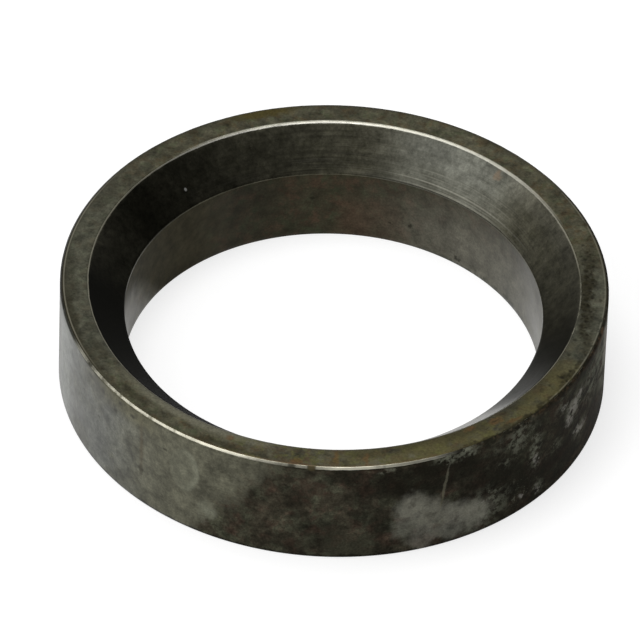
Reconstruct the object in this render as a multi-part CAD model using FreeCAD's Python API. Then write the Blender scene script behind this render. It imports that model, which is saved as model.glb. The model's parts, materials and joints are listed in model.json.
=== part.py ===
import FreeCAD, Part
import math
import os

# Spacer ring, turned from one piece of steel: a plain cylindrical outside, a straight
# bore, and a wide countersink that opens the upper end of the bore.
# Millimetres, +Z up. The ring lies on its plain face with the countersunk mouth on top,
# and the origin is the centre of that plain face.

# Driving sizes
bore_diameter = 76.3
wall_thickness = 11.85
ring_height = 21.8
top_face_width = 5.0
countersink_angle = 45.0
rim_break = 0.35
mouth_break = 0.35
throat_radius = 0.5
foot_break = 0.3
bore_foot_break = 0.15

# Sizes that follow from them
bore_radius = bore_diameter / 2
outer_radius = bore_radius + wall_thickness
mouth_radius = outer_radius - top_face_width
countersink_depth = (mouth_radius - bore_radius) / math.tan(math.radians(countersink_angle))
throat_height = ring_height - countersink_depth

# Two rims on one circle are told apart to this distance
edge_tolerance = 0.001


def point(radius, height):
    """A corner of the section, in the plane that the section is turned from."""
    return FreeCAD.Vector(radius, 0, height)


def turned_section():
    """Half section of the ring with its corners still sharp, anticlockwise from the foot of the bore."""
    corners = [
        point(bore_radius, 0),
        point(outer_radius, 0),
        point(outer_radius, ring_height),
        point(mouth_radius, ring_height),
        point(bore_radius, throat_height),
    ]
    outline = Part.makePolygon(corners + corners[:1])
    return Part.Face(outline)


def corner_edges(solid, radius, height):
    """Edges of the turned solid that came from the section's corner at this radius and height."""
    found = []
    for edge in solid.Edges:
        if not isinstance(edge.Curve, Part.Circle):
            continue
        same_radius = abs(edge.Curve.Radius - radius) < edge_tolerance
        same_height = abs(edge.Curve.Center.z - height) < edge_tolerance
        if same_radius and same_height:
            found.append(edge)
    return found


def spacer_ring():
    """The whole ring: turn the section, then break its corners and ease the throat."""
    axis_foot = FreeCAD.Vector(0, 0, 0)
    axis_direction = FreeCAD.Vector(0, 0, 1)
    ring = turned_section().revolve(axis_foot, axis_direction, 360)

    # Sharp outside corners are broken, top and bottom
    ring = ring.makeChamfer(rim_break, corner_edges(ring, outer_radius, ring_height))
    ring = ring.makeChamfer(foot_break, corner_edges(ring, outer_radius, 0))

    # The mouth and the foot of the bore are broken so that a shaft enters without a burr
    ring = ring.makeChamfer(mouth_break, corner_edges(ring, mouth_radius, ring_height))
    ring = ring.makeChamfer(bore_foot_break, corner_edges(ring, bore_radius, 0))

    # The countersink runs into the bore over a small radius
    return ring.makeFillet(throat_radius, corner_edges(ring, bore_radius, throat_height))


def main():
    os.makedirs("parts", exist_ok=True)
    ring = spacer_ring()
    print("spacer_ring: valid", ring.isValid(), "solids", len(ring.Solids), "volume mm3", round(ring.Volume, 1))
    box = ring.BoundBox
    print("outside diameter", round(box.XLength, 3), "height", round(box.ZLength, 3), "mouth", 2 * mouth_radius)
    ring.exportStep("parts/spacer_ring.step")


main()
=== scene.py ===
import json
import math

import bmesh
import bpy
from mathutils import Matrix, Vector


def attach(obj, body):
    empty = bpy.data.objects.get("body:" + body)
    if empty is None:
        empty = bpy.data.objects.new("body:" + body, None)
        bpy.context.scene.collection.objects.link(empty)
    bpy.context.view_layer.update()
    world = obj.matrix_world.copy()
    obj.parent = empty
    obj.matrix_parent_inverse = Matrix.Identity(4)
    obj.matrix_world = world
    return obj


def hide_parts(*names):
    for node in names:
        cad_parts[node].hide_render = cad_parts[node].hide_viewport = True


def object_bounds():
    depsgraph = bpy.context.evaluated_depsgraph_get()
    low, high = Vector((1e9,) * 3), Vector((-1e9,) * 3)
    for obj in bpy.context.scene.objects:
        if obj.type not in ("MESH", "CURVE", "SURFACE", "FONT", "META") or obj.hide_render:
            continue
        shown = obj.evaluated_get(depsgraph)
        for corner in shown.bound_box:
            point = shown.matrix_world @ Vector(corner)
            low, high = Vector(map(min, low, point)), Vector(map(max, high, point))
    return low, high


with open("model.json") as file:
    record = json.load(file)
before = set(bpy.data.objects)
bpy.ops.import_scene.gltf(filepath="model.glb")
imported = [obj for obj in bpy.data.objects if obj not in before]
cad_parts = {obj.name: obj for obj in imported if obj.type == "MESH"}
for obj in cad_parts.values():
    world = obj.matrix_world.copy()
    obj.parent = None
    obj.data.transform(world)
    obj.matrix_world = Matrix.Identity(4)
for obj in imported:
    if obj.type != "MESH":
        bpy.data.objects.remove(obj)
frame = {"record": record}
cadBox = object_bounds()
print("frame loaded")

mm = 0.001
boreMount = next(m for m in frame["record"]["mounts"] if m["name"] == "bore")
outerRadius = cadBox[1].x
ringHeight = cadBox[1].z
boreRadius = boreMount["dims"]["r_mm"] * mm


# Ring: one turned section, spun round the axis

ring = {
    "topFaceWidth": 5.0 * mm,
    "rimBreak": 0.35 * mm,
    "rimProfile": 0.27,          # filed nearly flat
    "mouthBreak": 0.35 * mm,
    "throatEase": 0.25 * mm,
    "footBreak": 0.3 * mm,
    "boreFootBreak": 0.15 * mm,
    "edgeRows": 5,
    "undersideRow": 3.0 * mm,    # how wide one row of faces is on each surface
    "boreRow": 0.9 * mm,
    "countersinkRow": 0.45 * mm,
    "topRow": 0.45 * mm,
    "outsideRow": 0.6 * mm,
    "stepsAround": 800,
    "doublings": 5,              # a sector is spun, then doubled this often to close the ring
}
mouthRadius = outerRadius - ring["topFaceWidth"]
throatHeight = ringHeight - (mouthRadius - boreRadius)   # the countersink is at 45 degrees


def startSection(name):
    bpy.ops.object.select_all(action="DESELECT")
    middle = ((boreRadius + outerRadius) / 2, 0, ringHeight / 2)
    bpy.ops.mesh.primitive_plane_add(size=1, location=middle, rotation=(math.pi / 2, 0, 0))
    piece = bpy.context.object
    piece.name = name
    piece.data.name = name
    piece.scale = (outerRadius - boreRadius, ringHeight, 1)
    bpy.ops.object.transform_apply(location=True, rotation=True, scale=True)
    return piece


def breakCorner(piece, radius, height, size, rows, profile=0.5):
    mesh = bmesh.from_edit_mesh(piece.data)
    bpy.ops.mesh.select_all(action="DESELECT")
    corner = Vector((radius, 0, height))
    nearest = min(mesh.verts, key=lambda v: (v.co - corner).length)
    nearest.select = True
    bmesh.update_edit_mesh(piece.data)
    bpy.ops.mesh.bevel(offset=size, affect="VERTICES", segments=rows, profile=profile)


def rowLength(first, last):
    middle = (first + last) / 2
    near = 0.02 * mm
    if middle.z < near:
        return ring["undersideRow"]
    if middle.z > ringHeight - near:
        return ring["topRow"]
    if middle.x > outerRadius - near:
        return ring["outsideRow"]
    if middle.x < boreRadius + near:
        return ring["boreRow"]
    return ring["countersinkRow"]


def divideLongEdges(piece):
    mesh = bmesh.from_edit_mesh(piece.data)
    ends = [[v.co.copy() for v in edge.verts] for edge in mesh.edges]
    for first, last in ends:
        cuts = math.ceil((last - first).length / rowLength(first, last)) - 1
        if cuts < 1:
            continue
        mesh = bmesh.from_edit_mesh(piece.data)
        bpy.ops.mesh.select_all(action="DESELECT")
        for corner in mesh.verts:
            corner.select = min((corner.co - first).length, (corner.co - last).length) < 0.001 * mm
        mesh.select_flush(True)
        bmesh.update_edit_mesh(piece.data)
        bpy.ops.mesh.subdivide(number_cuts=cuts)


def closeRing(piece):
    share = 2 * math.pi / 2 ** ring["doublings"]
    steps = ring["stepsAround"] // 2 ** ring["doublings"]
    bpy.ops.mesh.select_all(action="SELECT")
    bpy.ops.mesh.spin(steps=steps, angle=share, center=(0, 0, 0), axis=(0, 0, 1))
    for times in range(ring["doublings"]):
        bpy.ops.mesh.select_all(action="SELECT")
        bpy.ops.mesh.duplicate()
        bpy.ops.transform.rotate(value=share * 2 ** times, orient_axis="Z", center_override=(0, 0, 0))
    bpy.ops.mesh.select_all(action="SELECT")
    bpy.ops.mesh.remove_doubles(threshold=0.002 * mm)
    bpy.ops.mesh.normals_make_consistent(inside=False)


def makeRing():
    piece = startSection("turnedRing")
    bpy.ops.object.mode_set(mode="EDIT")
    bpy.ops.mesh.select_mode(type="VERT")
    bpy.ops.mesh.select_all(action="SELECT")
    bpy.ops.mesh.bisect(plane_co=(mouthRadius, 0, ringHeight), plane_no=(-1, 0, 1), clear_outer=True)
    breakCorner(piece, outerRadius, ringHeight, ring["rimBreak"], ring["edgeRows"], ring["rimProfile"])
    breakCorner(piece, mouthRadius, ringHeight, ring["mouthBreak"], ring["edgeRows"])
    breakCorner(piece, boreRadius, throatHeight, ring["throatEase"], 3)
    breakCorner(piece, outerRadius, 0, ring["footBreak"], 2)
    breakCorner(piece, boreRadius, 0, ring["boreFootBreak"], 2)
    bpy.ops.mesh.select_all(action="SELECT")
    bpy.ops.mesh.delete(type="ONLY_FACE")
    divideLongEdges(piece)
    closeRing(piece)
    bpy.ops.object.mode_set(mode="OBJECT")
    bpy.ops.object.shade_smooth()
    return piece


turnedRing = makeRing()
print("ring modelled:", len(turnedRing.data.vertices), "vertices", len(turnedRing.data.polygons), "faces")


# Wear in the metal: a battered rim, a nicked mouth and pits, most of them at the right of the top face

wear = {
    "wornZone": 1.5 * mm,        # nothing further below the top face is worn
    "corner": 0.15,              # in mm, the wear is strongest this far from a corner
    "rimDepth": 0.16 * mm,
    "rimGrain": 1.3 * mm,
    "rimReach": 0.75,            # in mm, how far past that it fades out
    "rimEverywhere": 0.22,       # share of the rim's wear that goes all the way round
    "batteredFrom": -62,         # degrees, the worst of the rim
    "batteredTo": -6,
    "batteredFade": 8,
    "nick": -170,                # degrees, one more worn spot at the left of the rim
    "nickHalf": 2.5,
    "mouthDepth": 0.06 * mm,
    "mouthGrain": 2.2 * mm,
    "mouthReach": 0.5,
    "pitDepth": 0.14 * mm,
    "pits": [                    # angle, radius and half width in mm
        (15.5, 46.9, 0.30), (13.0, 47.2, 0.35), (10.9, 46.4, 0.42), (8.2, 47.5, 0.34), (6.9, 46.1, 0.36),
        (5.6, 46.8, 0.38), (3.4, 47.2, 0.32), (2.4, 45.9, 0.40), (0.8, 46.5, 0.42), (-1.6, 46.9, 0.34),
        (-2.9, 48.5, 0.36), (-3.1, 45.8, 0.44), (-5.2, 46.4, 0.42), (-6.8, 47.0, 0.34), (-8.4, 45.8, 0.44),
        (-10.1, 46.6, 0.36), (-11.8, 45.9, 0.42), (-14.5, 46.5, 0.36), (-17.0, 45.8, 0.38),
        (-20.7, 48.9, 0.34), (-22.3, 46.2, 0.32), (115.8, 47.8, 0.34), (-29.5, 47.8, 0.34),
        (-31.0, 48.5, 0.30), (-28.3, 48.9, 0.34),
        (-26.9, 48.2, 0.28), (-33.4, 47.1, 0.28), (-25.4, 48.9, 0.30), (-30.2, 49.0, 0.26), (1.8, 47.4, 0.30),
        (-1.0, 47.3, 0.32), (4.4, 46.0, 0.36), (-6.6, 45.7, 0.36), (9.4, 45.8, 0.34), (12.0, 45.7, 0.30)],
}


def angleOf(corner):
    return math.degrees(math.atan2(corner.y, corner.x))


def fade(distance, reach):
    share = max(0.0, 1.0 - distance / reach)
    return share * share * (3 - 2 * share)


def nearCorner(corner, radius, reach):
    across = math.hypot(corner.x, corner.y)
    away = math.hypot(across - radius, corner.z - ringHeight) / mm
    return fade(away - wear["corner"], reach)


def rimWear(corner):
    angle = angleOf(corner)
    past = max(wear["batteredFrom"] - angle, angle - wear["batteredTo"], 0.0)
    battered = (1 - wear["rimEverywhere"]) * fade(past, wear["batteredFade"])
    nick = fade(abs(angle - wear["nick"]), wear["nickHalf"])
    share = min(1.0, wear["rimEverywhere"] + battered + nick)
    return nearCorner(corner, outerRadius, wear["rimReach"]) * share


def mouthWear(corner):
    return nearCorner(corner, mouthRadius, wear["mouthReach"])


def pitWear(corner):
    if corner.z < ringHeight - 0.02 * mm:
        return 0.0
    deepest = 0.0
    for angle, radius, half in wear["pits"]:
        turn = math.radians(angle)
        away = math.hypot(corner.x / mm - radius * math.cos(turn), corner.y / mm - radius * math.sin(turn))
        deepest = max(deepest, fade(away, half * 1.3))
    return deepest


def wearAway(piece, name, depth, grain, weightAt):
    group = piece.vertex_groups.new(name=name)
    for corner in piece.data.vertices:
        if corner.co.z > ringHeight - wear["wornZone"]:
            group.add([corner.index], weightAt(corner.co), "REPLACE")
    pressed = piece.modifiers.new(name, "DISPLACE")
    pressed.vertex_group = name
    pressed.texture_coords = "LOCAL"
    if grain:
        cloud = bpy.data.textures.new(name, "CLOUDS")
        cloud.noise_scale = grain
        cloud.noise_depth = 3
        cloud.contrast = 1.6
        pressed.texture = cloud
        pressed.strength = depth
        pressed.mid_level = 1.0      # the noise pulls inwards
    else:
        pressed.strength = -depth
        pressed.mid_level = 0.0
    bpy.ops.object.modifier_apply(modifier=name)
    piece.vertex_groups.remove(piece.vertex_groups[name])


wearAway(turnedRing, "rimWear", wear["rimDepth"], wear["rimGrain"], rimWear)
wearAway(turnedRing, "mouthWear", wear["mouthDepth"], wear["mouthGrain"], mouthWear)
wearAway(turnedRing, "pitWear", wear["pitDepth"], None, pitWear)
print("wear made")


# Shader maths: places are in millimetres, angles in degrees from +X towards +Y, and the photo's front is -90

class Wire:
    def __init__(self, tree, socket=None):
        self.tree = tree
        self.socket = socket

    def node(self, kind, settings=None, sockets=None, out=0):
        made = self.tree.nodes.new(kind)
        for name, value in (settings or {}).items():
            setattr(made, name, value)
        for name, value in (sockets or {}).items():
            if isinstance(value, Wire):
                self.tree.links.new(value.socket, made.inputs[name])
            else:
                made.inputs[name].default_value = value
        return Wire(self.tree, made.outputs[out] if made.outputs else None)

    def output(self, name):
        return Wire(self.tree, self.socket.node.outputs[name])

    def calc(self, operation, *values):
        return self.node("ShaderNodeMath", {"operation": operation}, dict(enumerate(values)))

    def vector(self, operation, *others, out=0):
        sockets = dict(enumerate((self,) + others))
        return self.node("ShaderNodeVectorMath", {"operation": operation}, sockets, out)

    def scaled(self, amount):
        return self.node("ShaderNodeVectorMath", {"operation": "SCALE"}, {0: self, "Scale": amount})

    def stained(self, share, colour):
        return self.node("ShaderNodeMix", {"data_type": "RGBA"}, {0: share, 6: self, 7: colour}, 2)

    def most(self, other):
        return self.calc("MAXIMUM", self, other)

    def __add__(self, other):
        return self.calc("ADD", self, other)

    def __sub__(self, other):
        return self.calc("SUBTRACT", self, other)

    def __rsub__(self, other):
        return self.calc("SUBTRACT", other, self)

    def __mul__(self, other):
        return self.calc("MULTIPLY", self, other)

    __radd__ = __add__
    __rmul__ = __mul__


def tint(red, green, blue):
    def linear(value):
        share = value / 255
        return share / 12.92 if share <= 0.04045 else ((share + 0.055) / 1.055) ** 2.4
    return (linear(red), linear(green), linear(blue), 1.0)


def rise(value, low, high):
    settings = {"interpolation_type": "SMOOTHSTEP"}
    return value.node("ShaderNodeMapRange", settings, {"Value": value, "From Min": low, "From Max": high})


def noise(place, size, detail=3.0, rough=0.5, out="Fac"):
    sockets = {"Vector": place, "Scale": 1 / size, "Detail": detail, "Roughness": rough}
    return place.node("ShaderNodeTexNoise", None, sockets, out)


def threeNoises(place, size, detail, rough):
    split = place.node("ShaderNodeSeparateColor", None, {0: noise(place, size, detail, rough, "Color")})
    return split, split.output("Green"), split.output("Blue")


def mottled(colour, field, amount):
    return colour.scaled((1.0 + (field - 0.5) * amount).most(0.12))


def frayed(place, size, reach):
    wander = noise(place, size, 4.0, 0.6, "Color").vector("SUBTRACT", (0.5, 0.5, 0.5))
    return place.vector("ADD", wander.scaled(4 * reach))


def outward(place):
    return place.vector("MULTIPLY", (1, 1, 0)).vector("NORMALIZE")


def facing(place, angle):
    toward = (math.cos(math.radians(angle)), math.sin(math.radians(angle)), 0)
    return outward(place).vector("DOT_PRODUCT", toward, out="Value")


def sector(place, angle, half, soft):
    first = math.cos(math.radians(half + soft))
    return rise(facing(place, angle), first, math.cos(math.radians(max(half - soft, 0))))


def streaks(place, across, length, width, detail=3.0, rough=0.5):
    lift = place.node("ShaderNodeCombineXYZ", None, {"Z": across * (1 / width)})
    return noise(outward(place).scaled(45 / length).vector("ADD", lift), 1.0, detail, rough)


def local(place, angle, radius, height, deep, wide, tall, slant=0.0):
    turn = math.radians(angle)
    return place.node("ShaderNodeMapping", {"vector_type": "TEXTURE"}, {
        "Vector": place,
        "Location": (radius * math.cos(turn), radius * math.sin(turn), height),
        "Rotation": (math.radians(slant), 0, turn),
        "Scale": (deep, wide, tall)})


def mark(place, angle, radius, height, deep, wide, tall, slant=0.0, soft=0.35):
    reach = local(place, angle, radius, height, deep, wide, tall, slant).vector("LENGTH", out="Value")
    return rise(reach, 1 + soft, 1 - soft)


def wallMark(place, angle, height, wide, tall, slant=0.0, soft=0.45):
    return mark(place, angle, outerRadius / mm, height, max(3, wide * 0.9), wide, tall, slant, soft)


def topMark(place, angle, radius, deep, wide, soft=0.6):
    return mark(place, angle, radius, ringHeight / mm, deep, wide, 5, 0, soft)


def pitMark(flat, angle, radius, half):      # a Mapping node for each pit would make the top face render black
    turn = math.radians(angle)
    away = flat.vector("DISTANCE", (radius * math.cos(turn), radius * math.sin(turn), 0), out="Value")
    return rise(away, half * 1.7, half * 0.2)


def strongest(fields):
    whole = None
    for field in fields:
        whole = whole.most(field) if whole else field
    return whole


def blankMaterial(name):
    made = bpy.data.materials.new(name)
    made.use_nodes = True
    made.node_tree.nodes.clear()
    return made, Wire(made.node_tree)


def startSteel(name):
    made, sh = blankMaterial(name)
    return made, sh.node("ShaderNodeTexCoord", None, None, "Object").scaled(1 / mm)


def heightOf(place):
    return place.node("ShaderNodeSeparateXYZ", None, {0: place}).output("Z")


def radiusOf(place):
    return place.vector("MULTIPLY", (1, 1, 0)).vector("LENGTH", out="Value")


def plain(place, colour):
    return place.node("ShaderNodeMix", {"data_type": "RGBA"}, {0: 0.0, 6: colour, 7: colour}, 2)


def bareSteel(place, colour, roughness, bump):
    return place.node("ShaderNodeBsdfPrincipled", None, {
        "Base Color": colour, "Metallic": 1.0, "Roughness": roughness, "Normal": bump})


def dullCrust(place, colour, bump):
    return place.node("ShaderNodeBsdfPrincipled", None, {
        "Base Color": colour, "Roughness": 0.7, "Specular IOR Level": 0.03, "Normal": bump})


def finishSteel(place, surface):
    place.node("ShaderNodeOutputMaterial", None, {"Surface": surface})


# Outside: smooth grey steel at the left, brown-black scale at the front and right, a worn rim; the tone
# across the wall is partly painted light, paler at the lit left edge and darker on the scaled side away from
# the lamps

outside = {
    "cleanSteel": tint(89, 90, 84),
    "litEdgeSteel": tint(105, 107, 101),
    "edgeSteel": tint(64, 65, 60),
    "oliveSteel": tint(84, 83, 70),
    "oliveTop": tint(78, 76, 60),
    "darkDotAndShade": tint(42, 41, 33),
    "rustLine": tint(78, 70, 54),
    "scale": tint(65, 61, 50),
    "greenScale": tint(74, 75, 61),
    "redScale": tint(78, 62, 52),
    "blackScaleAndShade": tint(31, 29, 22),
    "bareSteel": tint(95, 94, 84),
    "pinkSteel": tint(94, 86, 78),
    "scratch": tint(92, 89, 70),
    "rimRust": tint(92, 74, 56),
    "gapBrown": tint(84, 76, 54),
    "dryFlake": tint(134, 136, 119),
    "chalk": tint(184, 180, 170),
    "wornRimAndHighlight": tint(184, 181, 165),
    "rimHighlight": tint(238, 235, 214),
    "relief": 0.03 * mm,
    "blackAreas": [              # angle, height, half width, half height, slant, how black
        (-68.5, 17.2, 11.5, 4.8, 4, 1.0), (-48.0, 9.2, 12.0, 3.8, -24, 1.0), (-34.0, 6.0, 10.0, 4.5, 0, 0.8),
        (-85.5, 19.6, 4.0, 2.0, 0, 0.7), (-79.0, 7.5, 1.8, 5.0, 0, 0.5), (-16.0, 3.6, 8.0, 4.0, 0, 0.7),
        (-95.0, 3.4, 3.6, 1.8, 0, 0.5), (-96.0, 13.2, 2.6, 2.0, 0, 0.5), (-34.5, 14.2, 2.2, 2.0, 0, 0.7)],
    "patch": [                   # angle, height, half width, half height, share of the metal laid bare
        (-72.0, 10.6, 3.0, 3.2, 1.0), (-69.2, 8.2, 3.8, 3.8, 0.85), (-73.6, 6.4, 2.2, 3.0, 0.6),
        (-63.4, 6.8, 3.6, 2.6, 0.85), (-58.6, 5.0, 4.0, 3.2, 0.85), (-69.5, 2.6, 3.0, 2.8, 0.65),
        (-63.5, 3.2, 3.2, 2.8, 0.65)],
    "dots": [(-144.9, 19.1, 0.5, 0.5), (-140.6, 17.3, 0.5, 0.5), (-135.2, 19.2, 0.5, 0.4),
             (-132.4, 8.0, 0.6, 0.9), (-146.5, 12.0, 0.3, 0.3), (-139.0, 19.9, 0.4, 0.3),
             (-150.0, 19.4, 1.0, 0.5), (-126.0, 16.2, 0.4, 0.3)],
    "peeled": [                  # angle, height, half width, half height, slant, how much of it is pale
        (-27.6, 14.6, 3.0, 3.0, 0, 0.95), (-32.6, 18.2, 2.4, 2.0, 20, 0.6), (-46.5, 18.2, 3.2, 3.0, 0, 0.95),
        (-42.0, 13.2, 1.5, 4.4, 2, 1.0), (-55.0, 5.2, 4.0, 4.0, -10, 0.85), (-40.5, 2.9, 1.6, 1.2, 0, 0.7),
        (-52.5, 19.0, 2.2, 1.6, 0, 0.3), (-19.0, 14.8, 4.0, 4.0, 0, 0.8), (-51.0, 14.0, 1.5, 1.2, 0, 0.5),
        (-60.5, 20.7, 2.8, 1.0, 0, 0.9), (-78.0, 20.8, 1.4, 0.6, 0, 0.9), (-25.0, 7.6, 2.6, 1.6, -12, 0.8),
        (-65.0, 20.6, 1.8, 0.9, 0, 0.9), (-35.5, 9.4, 2.0, 1.6, -20, 0.6)],
    "chalkSpots": [(-28.4, 15.0, 1.5, 1.8, 20), (-30.2, 12.8, 1.0, 1.3, 0), (-25.0, 7.6, 2.2, 0.8, -12),
                   (-25.8, 16.4, 1.4, 0.7, 10), (-41.0, 2.7, 0.5, 0.7, 0), (-45.8, 3.7, 0.5, 0.5, 0),
                   (-41.8, 10.4, 0.6, 1.1, 0), (-32.2, 17.6, 0.9, 0.5, 20), (-56.4, 7.2, 0.5, 0.4, 0)],
}


def oldScale(place, stretched, height, torn, cloud, blotch, redBlotch, greenBlotch, flake, grain):
    hue, otherHue, thirdHue = threeNoises(stretched, 3.4, 5, 0.6)
    scale = plain(place, outside["scale"])
    scale = scale.stained(rise(otherHue, 0.48, 0.64) * 0.6, outside["redScale"])
    scale = scale.stained(rise(thirdHue, 0.46, 0.62) * 0.8, outside["greenScale"])
    for field, amount in ((hue, 2.4), (cloud, 1.8), (blotch, 2.4), (flake, 2.4)):
        scale = mottled(scale, field, amount)
    # black scale on the front and right, which is also painted shade on the side away from the lamps
    black = strongest(wallMark(torn, angle, at, broad, tall, slant) * share
                      for angle, at, broad, tall, slant, share in outside["blackAreas"])
    black = black.most(rise(facing(torn, -24), 0.60, 0.9) * 0.4)
    black = black.most(sector(place, 7, 11, 3) * 0.9)
    black = black.most(sector(torn, -20, 7, 5) * rise(height, 18.2, 19.6) * 0.3)
    black = black.most(sector(torn, -56, 3, 3) * rise(height, 17.5, 18.5) * 0.4)
    scale = scale.stained(sector(torn, -85, 4, 3) * rise(height, 8, 4) * 0.5, outside["greenScale"])
    scale = scale.stained(black * 0.8, outside["blackScaleAndShade"])
    scale = scale.stained(rise(greenBlotch, 0.57, 0.67) * 0.45, outside["blackScaleAndShade"])
    reddened = wallMark(torn, -93.5, 16.5, 3.0, 2.2) * rise(redBlotch, 0.4, 0.5) * 0.5
    scale = scale.stained(reddened, outside["redScale"])
    # painted shade: darker along the foot, where the wall meets the floor, and a dark band under the rim
    foot = rise(height + (blotch - 0.5) * 3.0, 0.9, 0.2)
    underRim = rise(height + (hue - 0.5) * 2.4, 20.9, 21.4)
    scale = mottled(scale.stained(foot.most(underRim) * 0.8, outside["blackScaleAndShade"]), grain, 1.3)
    rusted = sector(place, -33, 25, 6) * rise(height + (otherHue - 0.5) * 4, 19.6, 21.4)
    scale = scale.stained(rusted * rise(flake, 0.50, 0.58) * 0.4, outside["rimRust"])
    scale = scale.stained(wallMark(torn, -12, 20.4, 2.6, 0.8) * 0.6, outside["rimRust"])
    return scale.stained(wallMark(place, -93.5, 21.6, 0.7, 0.7) * 0.8, outside["gapBrown"])


def dryPeel(height, torn, ragged, flake, wideFlake, grain):
    towardEdge = facing(torn, -4) + height * 0.0023
    peel = rise(towardEdge, 0.998, 1.022) * rise(wideFlake, 0.40, 0.58) * rise(height, 21.2, 17.8) * 0.8
    broken = rise(wideFlake * 0.55 + flake * 0.45, 0.46, 0.56)
    areas = strongest(wallMark(ragged, angle, at, wide, tall, slant, 0.7) * share
                      for angle, at, wide, tall, slant, share in outside["peeled"])
    speckled = rise(grain * 0.6 + flake * 0.4, 0.56, 0.62)
    return peel.most(areas * broken).most(speckled * wallMark(ragged, -49, 5.6, 6, 2.6, -10) * 0.7)


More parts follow.
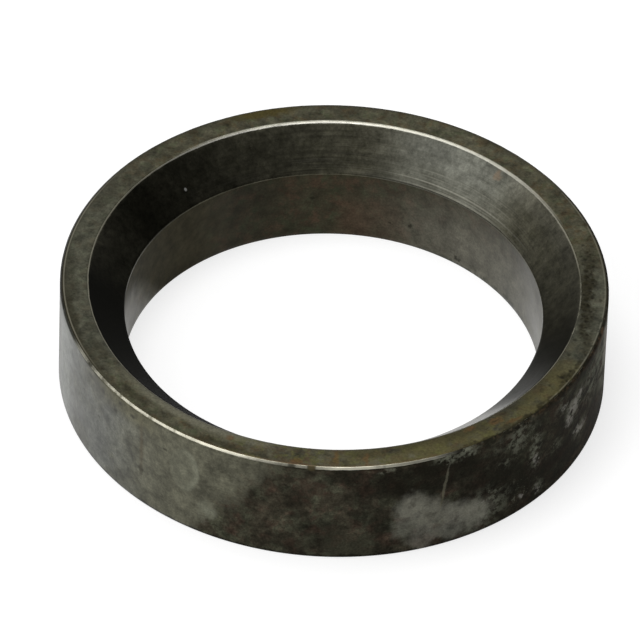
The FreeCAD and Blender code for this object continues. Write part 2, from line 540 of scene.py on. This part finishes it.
def makeOutsideSteel():
    made, place = startSteel("outsideSteel")
    height = heightOf(place)
    cloud, otherCloud = threeNoises(place, 8.0, 4, 0.6)[:2]
    blotch, redBlotch, greenBlotch = threeNoises(place, 2.6, 6, 0.68)
    flake, otherFlake, thirdFlake = threeNoises(place, 1.4, 6, 0.74)
    grain = noise(place, 0.4, 2, 0.6)
    stretched = local(place, -14, outerRadius / mm, 11, 1.0, 2.2, 1.0)
    wideFlake = threeNoises(stretched, 1.5, 6, 0.68)[0]
    torn = frayed(place, 3.0, 1.5)
    ragged = frayed(place, 1.8, 0.9)
    feathered = frayed(place, 0.9, 0.3)
    wavy = frayed(place, 4.0, 0.25)

    steel = plain(place, outside["cleanSteel"])
    steel = steel.stained(rise(otherCloud, 0.46, 0.60) * 0.5, outside["oliveSteel"])
    steel = steel.stained(sector(torn, -112, 22, 12), outside["oliveSteel"])
    steel = steel.stained(sector(torn, -140, 10, 6) * rise(height, 16.0, 20.0), outside["oliveTop"])
    # painted highlight: a paler band down the lit left edge of the wall
    steel = steel.stained(sector(torn, -167, 5, 4) * 0.9, outside["litEdgeSteel"])
    steel = steel.stained(sector(torn, -154, 6, 5) * 0.25, outside["edgeSteel"])
    steel = steel.stained(sector(place, 178, 8, 5), outside["edgeSteel"])
    steel = steel.stained(wallMark(torn, -113.0, 9.2, 3.0, 3.0, 0, 0.7) * 0.4, outside["darkDotAndShade"])
    steel = steel.stained(wallMark(torn, -113.5, 18.6, 5.0, 3.0, 0, 0.7) * 0.22, outside["darkDotAndShade"])
    turned = streaks(place, height, 22, 0.3, 2, 0.6)
    for field, amount in ((cloud, 1.7), (blotch, 2.2), (otherFlake, 1.2), (turned, 0.3)):
        steel = mottled(steel, field, amount)
    steel = steel.stained(sector(place, 180, 14, 6) * rise(height, 18.0, 20.4) * 0.6, outside["darkDotAndShade"])
    # painted shade: darker along the foot, where the wall meets the floor
    steel = steel.stained(rise(height + (blotch - 0.5) * 1.6, 0.80, 0.35) * 0.9, outside["darkDotAndShade"])
    dots = strongest(wallMark(feathered, angle, at, broad, tall, 0, 0.8)
                     for angle, at, broad, tall in outside["dots"])
    steel = steel.stained(dots * 0.8, outside["darkDotAndShade"])
    steel = steel.stained(wallMark(wavy, -132.4, 13.5, 0.45, 5.0, 0, 0.8) * 0.6, outside["rustLine"])
    drop = wallMark(wavy, -121.2, 13.6, 3.1, 5.0, 0, 0.12) * (0.6 + cloud * 0.6)
    dropEdge = drop - wallMark(wavy, -122.3, 13.6, 2.9, 4.8, 0, 0.3)
    steel = steel.stained(drop * 0.15 + dropEdge.most(0.0) * 0.28, outside["dryFlake"])
    steel = steel.stained(wallMark(ragged, -115.3, 5.2, 1.6, 2.4, 0, 0.7) * 0.45, outside["dryFlake"])

    peel = dryPeel(height, torn, ragged, flake, wideFlake, grain)
    scale = oldScale(place, stretched, height, torn, cloud, blotch, redBlotch, greenBlotch, flake, grain)
    scale = scale.stained(peel, outside["dryFlake"])
    chalk = strongest(wallMark(ragged, angle, at, broad, tall, slant, 0.7)
                      for angle, at, broad, tall, slant in outside["chalkSpots"])
    scale = scale.stained(chalk * rise(flake, 0.41, 0.52) * 0.8, outside["chalk"])
    # painted highlight: a pale glint down the right edge, in the chalk colour
    glint = sector(place, -4, 5, 2.5) * rise(height, 9, 13) * rise(height, 21.0, 20.0)
    scale = scale.stained(glint * rise(wideFlake, 0.38, 0.5) * 0.8, outside["chalk"])
    speck = rise(thirdFlake, 0.54, 0.61) * wallMark(torn, -40, 12, 18, 9) * 0.6
    scale = scale.stained(speck, outside["blackScaleAndShade"])

    rubbed = strongest(wallMark(ragged, angle, at, broad, tall, 0, 0.5) * share
                       for angle, at, broad, tall, share in outside["patch"])
    rubbed = rubbed * (1.0 - rise(greenBlotch, 0.48, 0.62) * 0.35) * (0.55 + blotch * 0.8)
    scratch = wallMark(wavy, -65.1, 14.2, 0.28, 5.0, -9, 0.35) * (0.4 + blotch * 0.8)
    notch = wallMark(feathered, -66.4, 1.0, 1.5, 0.9, 0, 0.5)
    bare = rubbed * (1.0 - notch)
    # scale over the front and right; the split is also painted shade, darker on the side away from the lamps
    towardScaleAndShade = facing(torn, -28) - (height - 4) * 0.0144 + (blotch - 0.5) * 0.26 + (flake - 0.5) * 0.10
    scaleAndShade = rise(towardScaleAndShade, -0.01, 0.10)
    scaleAndShadeShare = scaleAndShade * (1.0 - bare.most(scratch * 0.5))

    edge = rise(height + (blotch - 0.5) * 0.3, 21.34, 21.44)
    alongRim = streaks(place, height, 5, 6, 4, 0.65)
    gaps = (1.0 - sector(place, -93.5, 0.7, 0.4)) * (1.0 - sector(place, -97.6, 0.6, 0.4) * 0.6)
    shiny = sector(place, -110, 46, 5) * (1.0 - sector(place, -99, 7, 5) * 0.35) * gaps * edge
    shiny = shiny * rise(alongRim, 0.28, 0.46)
    pink = wallMark(torn, -69.0, 1.8, 2.6, 2.2) * rise(redBlotch, 0.4, 0.5) * 0.6
    steel = steel.stained(bare, outside["bareSteel"]).stained(pink, outside["pinkSteel"])
    steel = steel.stained(scratch * 0.9, outside["scratch"])
    steel = steel.stained(edge * sector(place, 178, 26, 12) * 0.8, outside["darkDotAndShade"])
    # the worn rim edge, with its highlight painted into its colour, brightest at the front
    worn = plain(place, outside["wornRimAndHighlight"]).stained(sector(place, -85.5, 7, 5) * 0.85, outside["rimHighlight"])
    worn = mottled(worn, alongRim, 1.6)
    steel = mottled(steel, grain, 0.8)
    steel = steel.node("ShaderNodeMix", {"data_type": "RGBA"}, {0: shiny, 6: steel, 7: worn}, 2)
    scaleAndShadeShare = scaleAndShadeShare * (1.0 - shiny)

    roughness = 0.38 + (cloud - 0.5) * 0.4 + (flake - 0.5) * 0.2
    relief = blotch * 0.5 + grain * 0.15 + scaleAndShade * (blotch * 0.8 + flake * 0.7 + 0.4)
    relief = relief * (1.0 - edge)
    bump = place.node("ShaderNodeBump", None, {"Height": relief, "Distance": outside["relief"]})
    metal = bareSteel(place, steel, roughness, bump)
    crust = dullCrust(place, scale, bump)
    finishSteel(place, place.node("ShaderNodeMixShader", None, {0: scaleAndShadeShare, 1: metal, 2: crust}))
    return made


# Top face: olive-grey, stained brown and pitted at the right

topFace = {
    "oliveSteel": tint(78, 76, 61),
    "greySteel": tint(75, 76, 66),
    "brownFilm": tint(76, 66, 47),
    "greenFilm": tint(74, 79, 58),
    "yellowFilm": tint(84, 79, 50),
    "redFilm": tint(84, 70, 52),
    "limeFilm": tint(88, 86, 52),
    "wornMouthAndHighlight": tint(176, 174, 162),
    "rimStain": tint(64, 50, 38),
    "oldVarnish": tint(72, 64, 29),
    "rust": tint(96, 72, 44),
    "darkStain": tint(44, 41, 28),
    "paleMargin": tint(110, 108, 92),
    "wornRimAndHighlight": tint(150, 146, 130),
    "pit": tint(26, 24, 16),
    "relief": 0.03 * mm,
    # angle, radius, half depth, half width and, for a stain, how dark
    "stains": [(-138.6, 48.0, 0.8, 3.5, 0.6), (-153.6, 46.7, 1.0, 3.0, 0.4), (-114.0, 48.4, 0.7, 5.0, 0.5),
               (-83.0, 46.7, 0.7, 2.0, 0.4), (130.9, 45.6, 0.35, 0.7, 0.7), (-29.4, 48.2, 1.0, 1.2, 0.8),
               (-27.2, 48.7, 0.5, 1.0, 0.8), (-31.5, 49.0, 0.5, 1.6, 0.6), (-168.0, 48.8, 1.0, 12.0, 0.7),
               (150.0, 47.0, 1.6, 6.0, 0.35), (115.8, 47.6, 0.7, 0.8, 0.6), (-105.0, 48.9, 0.5, 2.4, 0.5),
               (-35.4, 46.6, 0.4, 0.7, 0.5), (-16.0, 48.4, 0.6, 2.6, 0.4), (-1.0, 45.9, 0.9, 7.0, 0.75),
               (-13.5, 46.3, 0.8, 2.6, 0.5), (6.5, 46.9, 0.8, 2.2, 0.4), (-60.0, 46.2, 0.9, 4.0, 0.3),
               (-177.0, 48.4, 1.3, 9.0, 0.45), (-152.0, 48.8, 0.9, 5.0, 0.4), (126.0, 48.6, 0.9, 4.5, 0.15),
               (134.0, 46.4, 0.9, 3.5, 0.3), (-24.0, 48.9, 0.6, 1.4, 0.7), (30.0, 46.2, 0.8, 4.0, 0.25),
               (-39.0, 49.0, 0.5, 1.3, 0.7), (-44.5, 49.2, 0.4, 1.0, 0.8), (-50.0, 49.1, 0.5, 1.6, 0.6)],
    "rustSpots": [(-50.4, 46.5, 0.8, 1.3), (-56.6, 45.9, 0.5, 1.1), (-47.0, 48.6, 0.5, 1.5),
                  (-112.5, 46.4, 0.4, 0.9), (-97.0, 48.8, 0.6, 0.8), (-88.5, 47.2, 1.6, 0.5),
                  (-82.0, 47.8, 1.3, 0.5)],
    "cracks": [(-50.4, 46.6, 0.16, 0.9), (-47.6, 46.0, 0.14, 0.8), (-53.6, 47.3, 0.12, 0.6),
               (-29.8, 47.6, 0.9, 0.2), (-28.2, 48.4, 0.2, 0.8)],
}


def makeTopSteel():
    made, place = startSteel("topFaceSteel")
    radius = radiusOf(place)
    cloud = threeNoises(place, 6.0, 4, 0.6)[0]
    blotch, brownBlotch, greenBlotch = threeNoises(place, 2.2, 6, 0.7)
    grain = noise(place, 0.4, 2, 0.6)
    torn = frayed(place, 2.0, 0.7)

    colour = plain(place, topFace["oliveSteel"])
    colour = colour.stained(rise(brownBlotch, 0.46, 0.64) * 0.8, topFace["brownFilm"])
    colour = colour.stained(rise(greenBlotch, 0.48, 0.66) * 0.7, topFace["greenFilm"])
    colour = colour.stained(sector(torn, 178, 34, 14) * 0.6, topFace["greySteel"])
    colour = colour.stained(sector(torn, -10, 16, 8) * 0.7, topFace["greySteel"])
    colour = mottled(mottled(colour, blotch, 2.6), cloud, 1.6)
    inner = rise(radius + (blotch - 0.5) * 2.4, 47.2, 45.9)
    colour = colour.stained(inner * sector(torn, -122, 15, 11) * 0.85, topFace["paleMargin"])
    outer = rise(radius + (blotch - 0.5) * 2.4, 48.6, 49.6)
    colour = colour.stained(outer * (1.0 - sector(place, -40, 60, 20)) * 0.45, topFace["darkStain"])
    colour = colour.stained(sector(torn, -76, 6, 4) * rise(radius, 47.0, 48.6) * 0.6, topFace["paleMargin"])
    yellow = sector(torn, -54, 30, 10)
    colour = colour.stained(sector(torn, -90, 9, 5) * rise(brownBlotch, 0.44, 0.60) * 0.5, topFace["redFilm"])
    colour = colour.stained(yellow * rise(cloud, 0.35, 0.55) * 0.85, topFace["yellowFilm"])
    lime = sector(torn, -78, 32, 10) * rise(greenBlotch, 0.48, 0.60) * 0.7
    colour = colour.stained(lime, topFace["limeFilm"])
    colour = colour.stained(yellow * rise(brownBlotch, 0.52, 0.64) * 0.35, topFace["redFilm"])
    innerYellow = rise(radius + (cloud - 0.5) * 3.0, 47.6, 45.8)
    colour = colour.stained(yellow * innerYellow * 0.4, topFace["darkStain"])
    colour = colour.stained(topMark(torn, 107, 48.7, 1.2, 6.0) * 0.85, topFace["oldVarnish"])
    stains = strongest(topMark(torn, angle, at, deep, wide) * share
                       for angle, at, deep, wide, share in topFace["stains"])
    rusty = strongest(topMark(torn, angle, at, deep, wide) for angle, at, deep, wide in topFace["rustSpots"])
    nearby = frayed(place, 0.8, 0.18)
    cracks = strongest(topMark(nearby, angle, at, deep, wide) for angle, at, deep, wide in topFace["cracks"])
    colour = colour.stained(stains, topFace["darkStain"]).stained(rusty * 0.6, topFace["rust"])
    colour = colour.stained(cracks * 0.7, topFace["darkStain"])

    holes = place.node("ShaderNodeTexVoronoi", None, {"Vector": nearby, "Scale": 1.2}, "Distance")
    pitted = topMark(torn, -2, 46.2, 1.3, 15, 0.5)
    smudged = rise(greenBlotch, 0.40, 0.52) * rise(holes, 0.80, 0.40)
    smudges = (pitted * smudged * 0.9).most(pitted * rise(cloud, 0.56, 0.44) * 0.6)
    colour = colour.stained(smudges, topFace["darkStain"])
    flat = nearby.vector("MULTIPLY", (1, 1, 0))
    pits = strongest(pitMark(flat, angle, at, half) for angle, at, half in wear["pits"]) * 0.7
    pits = pits.most(rise(holes, 0.46, 0.16) * pitted * rise(brownBlotch, 0.42, 0.54))
    colour = mottled(colour.stained(pits * 0.8, topFace["pit"]), grain, 1.2)
    rightRim = sector(place, -2, 35, 4)
    sides = sector(place, 178, 26, 12).most(rightRim * rise(blotch, 0.36, 0.48))
    # a pale line inside the rim at the sides: worn edge, with painted highlight
    paleLine = rise(radius, 49.14, 49.24) * rise(radius, 49.50, 49.40) * sides * (0.4 - rightRim * 0.12)
    front = rise(radius + (blotch - 0.5) * 0.8, 49.1, 49.5) * sector(place, -92, 24, 12) * 0.55
    ragged = rise(radius + (brownBlotch - 0.5) * 4.0, 48.9, 49.4) * sector(place, -48, 13, 5)
    # painted highlight: the mouth's bright line carried onto the top face at the back
    mouthLine = rise(radius + (blotch - 0.5) * 0.25, 45.42, 45.20) * sector(place, 78, 44, 14)
    colour = colour.stained(rise(radius, 49.42, 49.50) * sides * 0.8, topFace["darkStain"])
    colour = colour.stained(ragged * 0.75, topFace["darkStain"])
    colour = colour.stained(front, topFace["rimStain"]).stained(paleLine, topFace["wornRimAndHighlight"])
    colour = colour.stained(mouthLine * 0.7, topFace["wornMouthAndHighlight"])

    roughness = 0.42 + (blotch - 0.5) * 0.4 + pits * 0.2
    relief = blotch * 0.6 + grain * 0.2
    bump = place.node("ShaderNodeBump", None, {"Height": relief, "Distance": topFace["relief"]})
    finishSteel(place, bareSteel(place, colour, roughness, bump))
    return made


# Countersink: fine turning lines, painted shade over the left and front, a grey tint painted where the lamp
# highlight falls at the back right, and a worn mouth edge with its highlight painted brighter at the back

countersink = {
    "steel": tint(86, 84, 71),
    "dullSteel": tint(72, 71, 57),
    "oilFilmAndShade": tint(58, 57, 47),
    "shadeBlack": tint(17, 17, 14),
    "line": tint(42, 41, 33),
    "paleLine": tint(126, 124, 114),
    "greySteel": tint(76, 77, 72),
    "rust": tint(96, 80, 64),
    "speck": tint(250, 250, 245),
    "dullMouth": tint(152, 149, 132),
    "wornMouthAndHighlight": tint(160, 158, 148),
    "mouthHighlight": tint(204, 202, 192),
    "throat": tint(124, 122, 110),
    "relief": 0.01 * mm,
}


def makeCountersinkSteel():
    made, place = startSteel("countersinkSteel")
    height = heightOf(place)
    cloud, otherCloud = threeNoises(place, 7.0, 4, 0.6)[:2]
    blotch, otherBlotch = threeNoises(place, 2.0, 6, 0.72)[:2]
    grain = noise(place, 0.4, 2, 0.6)
    torn = frayed(place, 2.0, 0.7)
    fine = streaks(place, height, 14, 0.16, 2, 0.6)
    broad = streaks(place, height, 26, 0.5, 3, 0.6)
    speckle = noise(place, 0.9, 4, 0.75)

    colour = plain(place, countersink["steel"])
    colour = colour.stained(rise(otherBlotch, 0.46, 0.64) * 0.6, countersink["dullSteel"])
    # a neutral grey tint painted where the lamp highlight falls, so the highlight reads grey
    colour = colour.stained(sector(place, 59, 15, 11) * 0.8, countersink["greySteel"])
    # painted shade: darker over the left and the front right of the countersink
    colour = colour.stained(sector(place, 172, 36, 22), countersink["oilFilmAndShade"])
    colour = colour.stained(sector(torn, -24, 16, 12) * 0.7, countersink["oilFilmAndShade"])
    nearMouth = rise(height, 18.4, 20.6)
    colour = colour.stained(nearMouth * sector(place, 27, 12, 8) * 0.2, countersink["paleLine"])
    colour = colour.stained(nearMouth * sector(place, 174, 12, 8) * 0.75, countersink["steel"])
    colour = colour.stained(sector(place, 168, 9, 8) * 0.35, countersink["steel"])
    # painted shade: darker low down at both ends of the left side
    darkEnds = sector(place, 144, 8, 6).most(sector(place, 191, 11, 7)) * rise(height, 19.4, 16.8)
    colour = colour.stained(darkEnds * 0.25, countersink["shadeBlack"])
    # painted shade at the back left, below the mouth
    backLeftShade = sector(place, 112, 10, 9) * rise(height, 20.8, 18.6) * 0.45
    colour = colour.stained(backLeftShade, countersink["oilFilmAndShade"])
    for field, amount in ((blotch, 2.0), (cloud, 1.4), (speckle, 1.2)):
        colour = mottled(colour, field, amount)
    low = rise(height + (cloud - 0.5) * 5, 19.4, 16.4)
    colour = colour.stained(low * sector(place, 55, 20, 8) * 0.3, countersink["oilFilmAndShade"])
    worked = sector(place, 70, 50, 26) * (0.45 + rise(otherCloud, 0.40, 0.60) * 0.55)
    colour = colour.stained(rise(broad, 0.50, 0.66) * (0.20 + low * 0.25) * worked, countersink["line"])
    colour = colour.stained(rise(fine, 0.52, 0.70) * (0.16 + low * 0.18) * worked, countersink["line"])
    colour = colour.stained(rise(broad, 0.46, 0.58) * sector(place, 88, 12, 8) * 0.25, countersink["line"])
    colour = colour.stained(rise(fine, 0.46, 0.34) * low * worked * 0.20, countersink["paleLine"])
    colour = colour.stained(topMark(torn, 47.8, 44.1, 0.7, 0.6) * 0.5, countersink["rust"])
    colour = colour.stained(mark(place, 99, 38.6, 15.4, 2, 4.5, 0.12, 0, 0.6) * 0.6, countersink["line"])
    colour = colour.stained(mark(place, 52, 39.0, 15.9, 9, 14, 0.09, 0, 0.7) * 0.4, countersink["paleLine"])
    colour = colour.stained(rise(height, 15.3, 15.1) * sector(place, 50, 24, 14) * 0.3, countersink["throat"])
    colour = colour.stained(mark(place, 133.7, 40.6, 17.4, 0.5, 0.26, 0.26, 0, 0.4), countersink["speck"])

    edge = rise(height + (blotch - 0.5) * 0.2, 21.50, 21.58)
    # the worn mouth edge, with its highlight painted brighter at the back
    mouth = plain(place, countersink["dullMouth"])
    mouth = mouth.stained(sector(place, 84, 46, 26), countersink["wornMouthAndHighlight"])
    mouth = mouth.stained(sector(place, 108, 18, 14) * 0.85, countersink["mouthHighlight"])
    dulled = sector(place, -6, 12, 6) * rise(otherBlotch, 0.40, 0.52) * 0.8
    mouth = mouth.stained(dulled, countersink["dullSteel"])
    colour = mottled(colour, grain, 0.6)
    colour = colour.node("ShaderNodeMix", {"data_type": "RGBA"}, {0: edge, 6: colour, 7: mouth}, 2)
    roughness = 0.32 + (blotch - 0.5) * 0.2 + (fine - 0.5) * 0.1 + edge * 0.05
    relief = (fine * 0.6 + broad * 0.4 + blotch * 0.5) * (1.0 - edge)
    bump = place.node("ShaderNodeBump", None, {"Height": relief, "Distance": countersink["relief"]})
    # painted shade: a matte black layer over the front left and front right
    blackShadeShare = sector(place, -147, 37, 8).most(sector(place, -28, 13, 8) * 0.7) * (1.0 - edge)
    metal = bareSteel(place, colour, roughness, bump)
    crust = dullCrust(place, countersink["shadeBlack"], bump)
    finishSteel(place, place.node("ShaderNodeMixShader", None, {0: blackShadeShare, 1: metal, 2: crust}))
    return made


# Bore: dark olive and brown film, smooth grey towards both ends of the far wall, which is also painted light

bore = {
    "film": tint(49, 46, 35),
    "redFilm": tint(62, 50, 39),
    "greenFilm": tint(50, 53, 39),
    "crust": tint(83, 79, 62),
    "cleanSteel": tint(89, 87, 77),
    "darkSpot": tint(24, 23, 16),
    "relief": 0.02 * mm,
    "spots": [                   # angle, height, half width
        (68.8, 4.8, 0.42), (54.2, 1.6, 0.45), (53.0, 1.4, 0.3), (97.0, 9.0, 0.3), (75.0, 4.4, 0.25)],
}


def makeBoreSteel():
    made, place = startSteel("boreSteel")
    height = heightOf(place)
    wall = boreRadius / mm
    cloud = threeNoises(place, 8.0, 4, 0.6)[0]
    blotch, redBlotch, greenBlotch = threeNoises(place, 2.4, 6, 0.66)
    grain = noise(place, 0.4, 2, 0.6)
    torn = frayed(place, 3.0, 1.4)
    feathered = frayed(place, 0.9, 0.4)

    colour = plain(place, bore["film"]).stained(rise(redBlotch, 0.47, 0.66) * 0.8, bore["redFilm"])
    colour = colour.stained(rise(greenBlotch, 0.47, 0.66) * 0.8, bore["greenFilm"])
    colour = colour.stained(mark(torn, 84, wall, 3.0, 3, 3.0, 3.6, 0, 0.6) * 0.6, bore["redFilm"])
    colour = colour.stained(sector(torn, 117, 8, 6) * 0.35, bore["darkSpot"])
    colour = colour.stained(sector(torn, 118, 14, 7) * rise(height, 4, 8) * 0.15, bore["darkSpot"])
    # clean steel, also painted light: lighter towards the right and left ends and towards the bottom
    cleanAndLit = sector(place, 12, 54, 25) * (0.32 + rise(height, 15.5, 5.5) * 0.68)
    leftEnd = rise(facing(torn, 180) - height * 0.011, 0.82, 0.92)
    cleanAndLit = cleanAndLit.most(leftEnd * 0.6).most(sector(torn, -90, 60, 20) * 0.6)
    colour = colour.stained(cleanAndLit, bore["cleanSteel"])
    colour = colour.stained(sector(torn, 80, 8, 5) * rise(height, 13, 6) * 0.4, bore["redFilm"])
    footStain = rise(height + (blotch - 0.5) * 5.0, 1.4, 0.2) * sector(place, 38, 24, 8)
    colour = colour.stained(footStain * 0.6, bore["greenFilm"])
    colour = mottled(mottled(colour, blotch, 1.6), cloud, 0.9)
    spots = strongest(mark(feathered, angle, wall, at, 2, size, size, 0, 0.8)
                      for angle, at, size in bore["spots"])
    colour = colour.stained(spots * 0.8, bore["darkSpot"])
    colour = mottled(colour, grain, 0.9)
    roughness = 0.40 + (cloud - 0.5) * 0.3
    relief = blotch * 0.6 + grain * 0.2
    bump = place.node("ShaderNodeBump", None, {"Height": relief, "Distance": bore["relief"]})
    crusted = sector(torn, 158, 30, 9) * (1.0 - leftEnd) * 0.9
    crustColour = mottled(mottled(plain(place, bore["crust"]), blotch, 1.6), redBlotch, 0.8)
    metal = bareSteel(place, colour, roughness, bump)
    crust = dullCrust(place, crustColour, bump)
    finishSteel(place, place.node("ShaderNodeMixShader", None, {0: crusted, 1: metal, 2: crust}))
    return made


# Underside: the same olive film over faint turning lines

def makeUndersideSteel():
    made, place = startSteel("undersideSteel")
    cloud = threeNoises(place, 6.0, 4, 0.6)[0]
    blotch, brownBlotch = threeNoises(place, 2.4, 6, 0.68)[:2]
    lathe = streaks(place, radiusOf(place), 20, 0.25, 3, 0.6)
    colour = plain(place, topFace["oliveSteel"])
    colour = colour.stained(rise(brownBlotch, 0.47, 0.66) * 0.7, topFace["brownFilm"])
    colour = mottled(mottled(colour, blotch, 2.6), cloud, 1.8)
    colour = colour.stained(rise(lathe, 0.54, 0.7) * 0.4, topFace["darkStain"])
    roughness = 0.42 + (blotch - 0.5) * 0.3
    bump = place.node("ShaderNodeBump", None, {"Height": lathe + blotch * 0.5, "Distance": 0.015 * mm})
    finishSteel(place, bareSteel(place, colour, roughness, bump))
    return made


def surfaceOf(face):
    across = math.hypot(face.center.x, face.center.y)
    level = face.center.z
    if level < 0.03 * mm:
        return "underside"
    if across > outerRadius - ring["rimBreak"] - 0.01 * mm:
        return "outside"
    if level > ringHeight - 0.3 * mm and across > mouthRadius + 0.02 * mm and face.normal.z > 0.9:
        return "topFace"
    if level > throatHeight - ring["throatEase"]:
        return "countersink"
    return "bore"


def dressRing(piece):
    steels = {
        "outside": makeOutsideSteel(),
        "topFace": makeTopSteel(),
        "countersink": makeCountersinkSteel(),
        "bore": makeBoreSteel(),
        "underside": makeUndersideSteel(),
    }
    for steel in steels.values():
        piece.data.materials.append(steel)
    order = list(steels)
    for face in piece.data.polygons:
        face.material_index = order.index(surfaceOf(face))


dressRing(turnedRing)
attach(turnedRing, "root")
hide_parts("spacer_ring")
print("materials made")


# Studio: floor, world, lamps and camera

studio = {
    "floorSize": 60.0,
    "floorColour": tint(172, 172, 172),
    "floorLift": 0.70,
    "rightSky": 0.04,     # strength of the sky at the far right
    "leftSky": 0.37,      # strength of the sky at the left
    "farSky": 0.78,       # strength of the soft patch of sky that the top face reflects
    "farSkyPlace": (0.0, 0.75, 0.66),
}


def makeFloor():
    bpy.ops.object.select_all(action="DESELECT")
    bpy.ops.mesh.primitive_plane_add(size=studio["floorSize"], location=(0, 0, 0))
    floor = bpy.context.object
    floor.name = "floor"
    made, sh = blankMaterial("palePaper")
    rays = sh.node("ShaderNodeLightPath")
    seen = rays.output("Is Camera Ray").most(rays.output("Is Glossy Ray"))
    seen = seen.most(rays.output("Is Transmission Ray"))
    paper = sh.node("ShaderNodeBsdfDiffuse", None, {"Color": studio["floorColour"]})
    glow = sh.node("ShaderNodeEmission", None, {"Strength": seen * studio["floorLift"]})
    both = sh.node("ShaderNodeAddShader", None, {0: paper, 1: glow})
    sh.node("ShaderNodeOutputMaterial", None, {"Surface": both})
    floor.data.materials.append(made)


def makeWorld():
    world = bpy.data.worlds.new("studio")
    bpy.context.scene.world = world
    world.use_nodes = True
    world.node_tree.nodes.clear()
    sh = Wire(world.node_tree)
    camera = sh.node("ShaderNodeLightPath").output("Is Camera Ray")
    toward = sh.node("ShaderNodeTexCoord").vector("NORMALIZE")
    sideways = toward.vector("DOT_PRODUCT", (1, 0, 0), out="Value")
    strength = studio["rightSky"] + rise(sideways, 1.12, -0.1) * (studio["leftSky"] - studio["rightSky"])
    behind = toward.vector("DOT_PRODUCT", studio["farSkyPlace"], out="Value")
    strength = strength.most(rise(behind, 0.55, 0.92) * studio["farSky"])
    sky = sh.node("ShaderNodeBackground", None, {"Color": (1, 1, 1, 1), "Strength": strength.most(camera)})
    sh.node("ShaderNodeOutputWorld", None, {"Surface": sky})


lamps = [
    {"name": "overheadLamp", "place": (-0.15, 0.05, 1.3), "size": 0.8, "power": 7.1},
    {"name": "leftLamp", "place": (-0.98, -0.46, 0.88), "size": 1.3, "power": 8.2},
]


def makeLamps():
    for lamp in lamps:
        light = bpy.data.lights.new(lamp["name"], "AREA")
        light.shape = "DISK"
        light.size = lamp["size"]
        light.energy = lamp["power"]
        holder = bpy.data.objects.new(lamp["name"], light)
        bpy.context.scene.collection.objects.link(holder)
        holder.location = lamp["place"]
        holder.rotation_euler = (-Vector(lamp["place"])).to_track_quat("-Z", "Y").to_euler()
        holder.visible_camera = False


view = {
    "aim": (-2.417 * mm, 6.155 * mm, 7.0 * mm),
    "elevation": 41.762,
    "roll": 1.992,
    "distance": 1.8347,
    "lens": 562.5,
}


def makeCamera():
    camera = bpy.data.cameras.new("camera")
    camera.lens = view["lens"]
    camera.sensor_width = 36.0
    camera.clip_start = 0.1
    camera.clip_end = 100.0
    holder = bpy.data.objects.new("camera", camera)
    bpy.context.scene.collection.objects.link(holder)
    turn = Matrix.Rotation(math.radians(90 - view["elevation"]), 4, "X")
    turn = turn @ Matrix.Rotation(math.radians(view["roll"]), 4, "Z")
    back = turn @ Vector((0, 0, view["distance"]))
    holder.matrix_world = Matrix.Translation(Vector(view["aim"]) + back) @ turn
    bpy.context.scene.camera = holder


makeFloor()
makeWorld()
makeLamps()
makeCamera()
bpy.context.scene.view_settings.view_transform = "Standard"
print("studio made")
